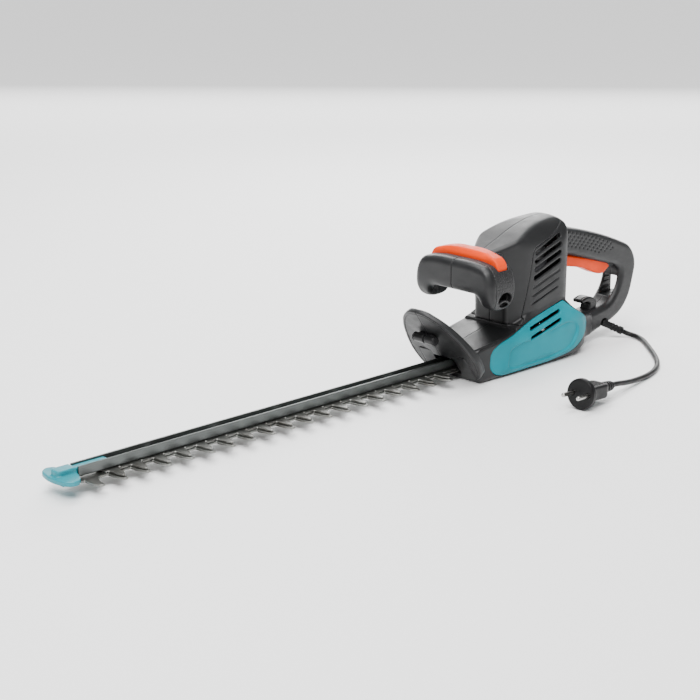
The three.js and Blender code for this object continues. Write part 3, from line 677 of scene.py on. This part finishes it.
def panel_piece(h, word):
    """The coloured flank: it stands a little proud, with a recessed facet and a scoop at its front."""
    block = h.block
    facet = outline_field(PANEL_FACET, block.x, block.z)
    sunk = 2.2 * np.clip(0.5 - facet / 2.2, 0, 1)
    front = np.clip((-9 - block.x) / 24, 0, 1)
    scoop = 2.6 * front * np.clip(1.15 - np.abs(block.z - 22) / 22, 0, 1)
    field = meet(h.panel, h.body - 1.0 + np.maximum(sunk, scoop), 1.1)
    field = carve(field, h.body + PANEL, 0.3)
    field = carve(field, h.tower - GAP, 0.3)
    for slot in panel_slots(block):
        rim = np.clip(1.0 - np.abs(slot) / 1.6, 0, 1)
        field = carve(field - 0.35 * rim, slot, 0.8)
    return cast(f"side_panel_{word}_skin", block, field, "turquoise_plastic", stands_for=f"side_panel_{word}")


def add_housing():
    for side, word in ((-1, "left"), (1, "right")):
        h = Housing(side)
        housing_piece(h, word)
        hood_piece(h, word)
        panel_piece(h, word)


# ---- hand guard and clip ----
GUARD_X, GUARD_LEAN = -57.2, math.radians(35.6)
GUARD_OUTLINE = mirrored_across([
    (-36, 3, 6), (-46.5, 12, 10), (-51, 32, 14), (-48.5, 50, 14), (-41, 75, 16), (-29, 95, 12), (-13, 107, 8),
    (-4, 108.5, 2),
])


def guard_depth(block, width):
    """How far behind the guard's front face each point is: two facets that sweep back from the middle."""
    c, s = math.cos(GUARD_LEAN), math.sin(GUARD_LEAN)
    out = (block.x - GUARD_X) * c + block.z * s
    return out - 5 * c * (0.5 * width / 53 + 0.5 * (width / 53) ** 2)


def add_guard():
    block = Block((-124, -55, 0), (-46, 55, 97), 0.6)
    up = -(block.x - GUARD_X) * math.sin(GUARD_LEAN) + block.z * math.cos(GUARD_LEAN)
    width = np.abs(block.y)
    depth = guard_depth(block, width)
    outline = outline_field(GUARD_OUTLINE, block.y, up)
    # the lower halves of both facets are dished
    dish = 1.6 * np.clip(1 - np.hypot((width - 25) / 20, (up - 40) / 42), 0, 1)
    rim_depth = 9.0 - 3.0 * np.clip((up - 40) / 60, 0, 1)
    sheet = meet(outline, np.maximum(0.2 + dish - depth, depth - 4.2), 0.9)
    rim = meet(slab(outline, -2.6, 0), np.maximum(0.2 - depth, depth - rim_depth), 0.9)
    field = join(sheet, rim, 1.5)
    border = meet(np.abs(outline + 3.4) - 0.4, depth - 0.8)
    field = carve(field, border, 0.2)
    crease = meet(width - 0.3, depth - 0.7)
    field = carve(field, crease, 0.2)
    field = carve(field, box_field(block, (-110, -17, 7), (-30, 17, 29.5), 1.0), 0.8)
    nose = body_field(block, width)
    field = carve(field, nose - GAP, 0.2)
    field = meet(field, 1.2 - block.z, 0.8)
    cast("hand_guard_shield", block, field, "charcoal_plastic", stands_for="hand_guard")

    block = Block((-113, -21, 47), (-86, 21, 68), 0.35)
    away = np.hypot(block.x + 104.5, block.z - 55.5)
    width = np.abs(block.y)
    barrel = meet(away - 5.2, width - 16.5, 1.0)
    barrel = carve(barrel, meet(np.abs(block.y + 1.5) - 1.1, 3.4 - away), 0.3)
    barrel = carve(barrel, meet(np.abs(width - 14.5) - 0.4, 4.6 - away), 0.2)
    stem = meet(
        outline_field([(-104, 53), (-90, 60), (-88, 66), (-104, 60)], block.x, block.z), width - 12, 0.8
    )
    field = meet(join(barrel, stem, 1.0), guard_depth(block, width) - 0.1)
    cast("guard_clip_barrel", block, field, "black_plastic", stands_for="guard_clip")


# ---- front handle and switch bar ----
ARCH = mirrored_across([
    (-36, 104, 8), (-41, 87, 5), (-54, 85, 7), (-59, 100, 10), (-58, 122, 14), (-50, 136, 10), (-28, 140, 16),
])
EAR_SIDE = [
    (-66, 150), (-66, 107, 12), (-55, 89, 14), (-41, 83, 12), (-26, 88, 14), (-19, 106, 12), (-19, 150),
]
SPLIT = -53.0
BAR_SLOT = ((-44, -52, 122), (-26.6, 52, 160))


def add_front_handle():
    block = Block((-67, -61, 82), (0, 61, 145), 0.6)
    width = np.abs(block.y)
    arch = outline_field(ARCH, block.y, block.z)
    front_round = meet(arch, -64.5 - block.x, 9.5)
    loop = meet(front_round, block.x + 20, 5.0)
    loop = meet(loop, outline_field(EAR_SIDE, block.x, block.z), 4.0)
    hollow = arch + 5.5
    hollow = meet(hollow, slab(block.x, -60, -25.6), 1.0)
    hollow = meet(hollow, outline_field(EAR_SIDE, block.x, block.z) + 5, 1.0)
    shell = carve(loop, hollow)
    tower = tower_field(block)
    # front half of the loop, in two mouldings that meet on the seam
    front = meet(shell, block.x - (SPLIT - GAP / 2), 0.6)
    for side, word in ((-1, "left"), (1, "right")):
        half = meet(front, HALF_SEAM - side * block.y, 0.6)
        cast(f"front_grip_{word}", block, half, "charcoal_plastic", stands_for=f"front_handle_{word}")
    back = meet(shell, (SPLIT + GAP / 2) - block.x, 0.6)
    bridge = meet(
        outline_field([(-30, 112, 2), (10, 108, 2), (10, 143, 2), (-30, 138, 2)], block.x, block.z),
        width - 22,
        3.0,
    )
    back = join(back, bridge, 3.0)
    slot = box_field(block, *BAR_SLOT, 1.5)
    back = carve(back, slot, 0.8)
    # an oval pocket in each ear, crossed by a curved rib
    pocket = (np.hypot((block.x + 37) / 11, (block.z - 98.5) / 8.5) - 1) * 8.5
    rib = np.abs(np.hypot(block.x + 38, block.z - 84) - 13) - 1.1
    pocket = carve(meet(pocket, 51.5 - width), meet(rib, width - 57.0), 0.3)
    back = carve(back, pocket, 0.9)
    back = carve(back, tower - GAP, 0.4)
    cast("front_handle_rear", block, back, "soft_grip", stands_for="front_handle_back")


def add_switch_bar():
    block = Block((-46, -53, 126), (-25, 53, 153), 0.45)
    side = outline_field(
        [(-43.4, 128), (-43.4, 143, 2), (-40, 148.5, 2), (-28, 151, 2), (-27.2, 128)], block.x, block.z
    )
    front = outline_field(
        mirrored_across([(-51, 128), (-51.3, 136, 3), (-46, 143.5, 6), (-20, 150.5, 14)]), block.y, block.z
    )
    field = meet(side, front, 1.8)
    cast("switch_bar_cap", block, field, "orange_plastic", "bar", stands_for="switch_bar")


# ---- trigger ----
def add_trigger():
    block = Block((112, -11, 78), (218, 11, 121), 0.45)
    side = outline_field(
        [(115, 119, 3), (206, 97, 3), (214.5, 88.5, 1), (203, 81, 2), (193, 81.5, 6), (182, 86, 10),
         (161, 95, 20), (131, 101, 10), (115, 104, 2)],
        block.x, block.z,
    )
    width = np.abs(block.y)
    field = meet(side, width - 9.4, 3.0)
    field = carve(field, np.hypot(block.x - 121, block.z - 113) - 2.2)
    cast("trigger_lever", block, field, "orange_plastic", "trigger", stands_for="trigger")


# ---- return springs ----
def add_spring(node, x, y, low, high):
    """A coil of wire wound between two fixed heights, standing in for the CAD spring."""
    coil, wire, turns, steps = 3.5, 0.55, 5, 24
    curve = bpy.data.curves.new(f"{node}_coil", "CURVE")
    curve.dimensions = "3D"
    curve.bevel_depth = wire * MM
    curve.bevel_resolution = 2
    curve.use_fill_caps = True
    spline = curve.splines.new("POLY")
    count = turns * steps
    spline.points.add(count)
    for i, point in enumerate(spline.points):
        turn = i / steps
        # the end turns lie flat
        rise = min(max((turn - 0.8) / (turns - 1.6), 0), 1)
        height = low + wire + 0.15 + rise * (high - low - 2 * wire - 0.3)
        angle = 2 * math.pi * turn
        point.co = ((x + coil * math.cos(angle)) * MM, (y + coil * math.sin(angle)) * MM, height * MM, 1)
    holder = bpy.data.objects.new(f"{node}_curve", curve)
    mesh = bpy.data.meshes.new_from_object(holder)
    bpy.data.objects.remove(holder)
    mesh.materials.clear()
    mesh.materials.append(MATERIALS["bolt_steel"])
    piece = bpy.data.objects.new(f"{node}_coil", mesh)
    bpy.context.scene.collection.objects.link(piece)
    enlist(piece, "root", node)
    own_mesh(piece)


# ---- cord hook ----
def add_hook():
    block = Block((154, -10, 36), (200, 10, 60), 0.4)
    width = np.abs(block.y)
    side = outline_field(
        [(190, 34), (195, 45, 4), (188, 53, 7), (175, 56, 7), (164, 52.5, 3), (165.5, 48, 2), (174, 49, 4),
         (181, 46, 3), (178, 36, 1)],
        block.x, block.z,
    )
    field = meet(side, width - 8, 2.2)
    groove = meet(np.abs(width - 4.6) - 0.5, -(side + 1.0))
    field = carve(field, groove, 0.3)
    handle = outline_field(HANDLE_SIDE, block.x, block.z)
    field = carve(field, handle - 0.1)
    cast("cord_hook_arm", block, field, "black_plastic", stands_for="cord_hook")


# ---- blades ----
PITCH, TEETH, FIRST = 26, 19, -560
BOLTS = [-484 + 83.5 * i for i in range(5)] + [-28]


COMB_TOOTH = [
    (-10.3, 12.5, 0.8), (-10.3, 16, 2), (-9.2, 22, 4), (-7.7, 27.5, 4), (-5.2, 32.6, 1.4), (-0.9, 32.3, 1.2),
    (-0.6, 27, 3), (-0.2, 22, 4), (3.1, 15, 3), (7, 12.5, 2),
]
CUTTER_TOOTH = [
    (-8.6, 11.5, 1.5), (-6.5, 22.6, 4), (-3.9, 29.2, 1.6), (-1, 28.4, 1.4), (0.9, 21.5, 4), (1.3, 17.8, 2),
    (4, 11.5, 1.5),
]


def tooth_outline(tooth, x0, x1, teeth):
    """One blade's outline, with its hooked teeth on both sides."""
    base = tooth[0][1]
    near = [(x0, base, 1)]
    for i in teeth:
        near += [(FIRST + i * PITCH + x, y, radius) for x, y, radius in tooth]
    near.append((x1, base, 1))
    return [tuple(p) for p in rounded_outline(mirrored(near), 4)]


def add_blades():
    comb = tooth_outline(COMB_TOOTH, -574, 8, range(TEETH))
    plate("comb_plate", [comb] + [circle(x, 0, 3.3) for x in BOLTS], 10.8, 13.0, 0.55, "blade_steel",
          stands_for="comb_blade")
    cutter = tooth_outline(CUTTER_TOOTH, -546, 27, range(1, TEETH))
    slots = [
        [tuple(p) for p in rounded_outline(mirrored([(x - 4, 4, 4), (x + 30, 4, 4)]), 5)] for x in BOLTS
    ]
    plate("cutter_plate", [cutter] + slots, 13.3, 15.3, 0.5, "blade_steel", "cutter",
          stands_for="cutter_blade")
    for i in range(1, TEETH - 1):
        for side in (-1, 1):
            x, y = FIRST + i * PITCH + 5, side * 9.6
            block = Block((x - 2.2, y - 2.2, 14.8), (x + 2.2, y + 2.2, 16.4), 0.2)
            dome = meet(np.hypot(block.x - x, block.y - y) - 1.5, slab(block.z, 15, 16.1), 0.5)
            word = "left" if side < 0 else "right"
            cast(f"cutter_pip_{word}_{i}", block, dome, "blade_steel", "cutter", stands_for="cutter_blade")
    yoke = [tuple(p) for p in rounded_outline(mirrored([(20, 24, 5), (47, 24, 5)]), 5)]
    window = [tuple(p) for p in rounded_outline(mirrored([(29.7, 19.3, 6), (42.3, 19.3, 6)]), 5)]
    plate("cutter_yoke", [yoke, window], 13.3, 15.3, 0.4, "blade_steel", "cutter",
          stands_for="cutter_blade")


def add_channel():
    """The folded steel channel over the blades."""
    t, half, low, high = 2.0, 7.0, 15.6, 25.8
    section = [
        (-half, low, 1.6), (half, low, 1.6), (half, high, 0.5), (half - t, high, 0.5),
        (half - t, low + t, 0.8), (t - half, low + t, 0.8), (t - half, high, 0.5), (-half, high, 0.5),
    ]
    line = [tuple(p) for p in rounded_outline(section, 4)]
    plate("channel_bar", [line], -573, -50, 0.35, "bar_steel", plane="yz", stands_for="blade_channel")


def add_bolts():
    """Blade bolts: a button head below, a nut with a washer in the channel."""
    for i, x in enumerate(BOLTS):
        block = Block((x - 6, -6, 6.5), (x + 6, 6, 24), 0.3)
        away = np.hypot(block.x - x, block.y)
        shank = meet(away - 3, slab(block.z, 8.2, 22.4), 0.5)
        head = meet(away - 5, slab(block.z, 7.6, 10.5), 1.2)
        washer = meet(away - 4.6, slab(block.z, 17.9, 18.9), 0.3)
        turns = [k * math.pi / 3 for k in range(3)]
        flats = [np.abs((block.x - x) * math.cos(a) + block.y * math.sin(a)) for a in turns]
        hexagon = np.maximum.reduce(flats) - 3.8
        nut = meet(hexagon, slab(block.z, 18.8, 22.0), 0.5)
        field = join(join(shank, head), join(washer, nut))
        socket = meet(away - 1.8, block.z - 8.9)
        field = carve(field, socket, 0.2)
        cast(f"bolt_{i + 1}", block, field, "bolt_steel", stands_for=f"blade_bolt_{i + 1}")


def add_tip_guard():
    block = Block((-602, -27, 8), (-534, 27, 29), 0.45)
    outline = mirrored([(-600, 6, 6), (-596.5, 20, 8), (-588, 26, 5), (-581, 22.5, 4), (-574.5, 9, 2)])
    plan = outline_field(outline, block.x, block.y)
    top = block.z - 20.5
    shoe = meet(plan, meet(top, 15.2 - block.z, 1.2), 1.4)
    tongue = meet(
        outline_field(mirrored([(-596, 7, 6), (-575, 7, 1)]), block.x, block.y), slab(block.z, 18, 26.2), 1.6
    )
    strip = meet(slab(block.x, -579, -537), slab(block.y, -4.6, 4.6), 1.5)
    strip = meet(strip, slab(block.z, 18.2, 24.4), 1.0)
    web = box_field(block, (-590, -6, 9.5), (-574.5, 6, 19), 1.0)
    field = join(join(join(shoe, tongue, 1.5), web, 1.0), strip, 0.8)
    notch = meet(slab(block.x, -574.4, -573.2), 24.2 - block.z)
    field = carve(field, notch, 0.2)
    cast("tip_guard_shoe", block, field, "turquoise_plastic", stands_for="tip_guard", material=FINE_TIP)


# ---- screws ----
def add_screws():
    """Cross-recessed screws in the right half."""
    for i, (x, z, seat) in enumerate(SCREWS):
        block = Block((x - 4.4, seat - 1, z - 4.4), (x + 4.4, seat + 4, z + 4.4), 0.22)
        away = np.hypot(block.x - x, block.z - z)
        head = meet(away - 3.5, slab(block.y, seat + GAP, seat + 3), 0.9)
        cross = np.minimum(
            np.maximum(np.abs(block.x - x) - 0.55, np.abs(block.z - z) - 2.1),
            np.maximum(np.abs(block.z - z) - 0.55, np.abs(block.x - x) - 2.1),
        )
        head = carve(head, meet(cross, (seat + 1.4) - block.y), 0.15)
        cast(f"screw_{i + 1}", block, head, "screw_steel", stands_for=f"housing_screw_{i + 1}")


# ---- strain relief, cord and plug ----
def add_relief():
    axis = (RELIEF_TIP - RELIEF_ROOT) / np.linalg.norm(RELIEF_TIP - RELIEF_ROOT)
    length = np.linalg.norm(RELIEF_TIP - RELIEF_ROOT)
    low = np.minimum(RELIEF_ROOT, RELIEF_TIP) - 7
    high = np.maximum(RELIEF_ROOT, RELIEF_TIP) + 7
    block = Block(tuple(low), tuple(high), 0.4)
    dx, dy, dz = (g - p for g, p in zip((block.x, block.y, block.z), RELIEF_ROOT))
    along = dx * axis[0] + dy * axis[1] + dz * axis[2]
    away = np.sqrt(np.maximum(dx * dx + dy * dy + dz * dz - along * along, 0))
    taper = away - (5.0 - 0.9 * along / length)
    rings = meet(taper - 0.35, slab(np.mod(along + 1.0, 4.4), 1.0, 3.4), 0.5)
    rings = meet(rings, slab(along, 13, length - 4), 0.3)
    body = meet(join(taper + 0.35, rings, 0.3), slab(along, 0, length), 0.8)
    collar = meet(away - 4.9, slab(along, length - 5.5, length), 0.9)
    cast("strain_relief_boot", block, join(body, collar, 0.6), "cord_rubber", stands_for="strain_relief")


PLUG_TURN = Matrix.Rotation(0.09, 4, "Z") @ Matrix.Rotation(0.075, 4, "Y")
PLUG_PLACE = Matrix.Translation((-46, -174, 18.1)) @ PLUG_TURN
PLUG_LENGTH = 64
CORD_DIAMETER = 6.2


def out_of_relief(distance):
    axis = (RELIEF_TIP - RELIEF_ROOT) / np.linalg.norm(RELIEF_TIP - RELIEF_ROOT)
    return tuple(RELIEF_TIP + axis * distance)


def cord_route():
    ends = [tuple(PLUG_PLACE @ Vector((PLUG_LENGTH + d, 0, 0))) for d in (8, GAP)]
    return [
        out_of_relief(0.4), out_of_relief(8), (224, -46.5, 3.9), (219, -60, 3.3), (208, -74, 3.3),
        (193, -91, 3.3), (174, -111.5, 3.3), (152.5, -131, 3.3), (131, -144.5, 3.3), (106.5, -153.5, 3.5),
        (79.5, -159, 5), (48, -164.5, 8.8), *ends,
    ]


def add_cord():
    curve = bpy.data.curves.new("mains_cord", "CURVE")
    curve.dimensions = "3D"
    curve.bevel_depth = CORD_DIAMETER / 2 * MM
    curve.bevel_resolution = 6
    curve.resolution_u = 10
    curve.use_fill_caps = True
    route = cord_route()
    spline = curve.splines.new("BEZIER")
    spline.bezier_points.add(len(route) - 1)
    for point, place in zip(spline.bezier_points, route):
        point.co = Vector(place) * MM
        point.handle_left_type = point.handle_right_type = "AUTO"
    curve.materials.append(MATERIALS["cord_rubber"])
    cord = bpy.data.objects.new("mains_cord", curve)
    bpy.context.scene.collection.objects.link(cord)
    enlist(cord, "root", "power_cord")
    return cord


def add_plug():
    """A round-faced two-pin plug, made straight and then laid down."""
    block = Block((-22, -20, -20), (66, 20, 20), 0.4)
    width, height = np.abs(block.y), np.abs(block.z)
    away = np.hypot(block.y, block.z)
    disc = meet(away - 17, slab(block.x, 0, 7), 1.6)
    plan = outline_field(mirrored([(5, 13, 3), (16, 12, 4), (36, 12.5, 3), (41, 9, 3)]), block.x, block.y)
    grip = meet(plan, height - 8, 3.0)
    bumps = [np.hypot(block.x - 12 - 5 * i, height - 7.6) - 1.3 for i in range(5)]
    for ridge in bumps:
        grip = join(grip, meet(ridge, width - 8, 1.0), 0.6)
    tail = meet(away - (5.4 - 0.045 * (block.x - 38)), slab(block.x, 36, PLUG_LENGTH), 0.8)
    rings = meet(away - (6.9 - 0.07 * (block.x - 41)), slab(np.mod(block.x - 41.5, 4.4), 0, 2.7), 0.5)
    rings = meet(rings, slab(block.x, 41, 60), 0.3)
    field = join(join(disc, grip, 2.0), join(tail, rings, 0.3), 1.0)
    for side in (-1, 1):
        bore = np.hypot(block.y - side * 9.5, block.z) - 2.7
        field = carve(field, meet(bore, block.x - 3), 0.3)
    plug = cast("plug_moulding", block, field, "cord_rubber", stands_for="plug_body")
    place = Matrix.Scale(MM, 4) @ PLUG_PLACE @ Matrix.Scale(1 / MM, 4)
    plug.data.transform(place)
    pins = []
    for i, side in enumerate((-1, 1)):
        pin = meet(np.hypot(block.y - side * 9.5, block.z) - 2.4, slab(block.x, -19, 2.6), 1.2)
        piece = cast(f"pin_{i + 1}", block, pin, "pin_metal", stands_for=f"plug_pin_{i + 1}")
        piece.data.transform(place)
        pins.append(piece)
    return [plug, *pins]


# ---- build ----
def dress_cad_nodes():
    """Every CAD node that still shows gets the procedural material of its slot."""
    slots = {s["node"]: s["material_slot"] for s in frame["record"]["subparts"]}
    for name, node in frame["nodes"].items():
        node.data.materials.clear()
        node.data.materials.append(MATERIALS[slots[name]])


add_camera()
cord = add_cord()
plug_pieces = add_plug()
add_studio()
dress_cad_nodes()
add_housing()
add_guard()
add_front_handle()
add_switch_bar()
add_trigger()
add_spring("bar_spring", -35, 24, 109.8, 127.7)
add_spring("trigger_spring", 178, 0, 105.4, 131)
add_hook()
add_blades()
add_channel()
add_bolts()
add_tip_guard()
add_screws()
add_relief()
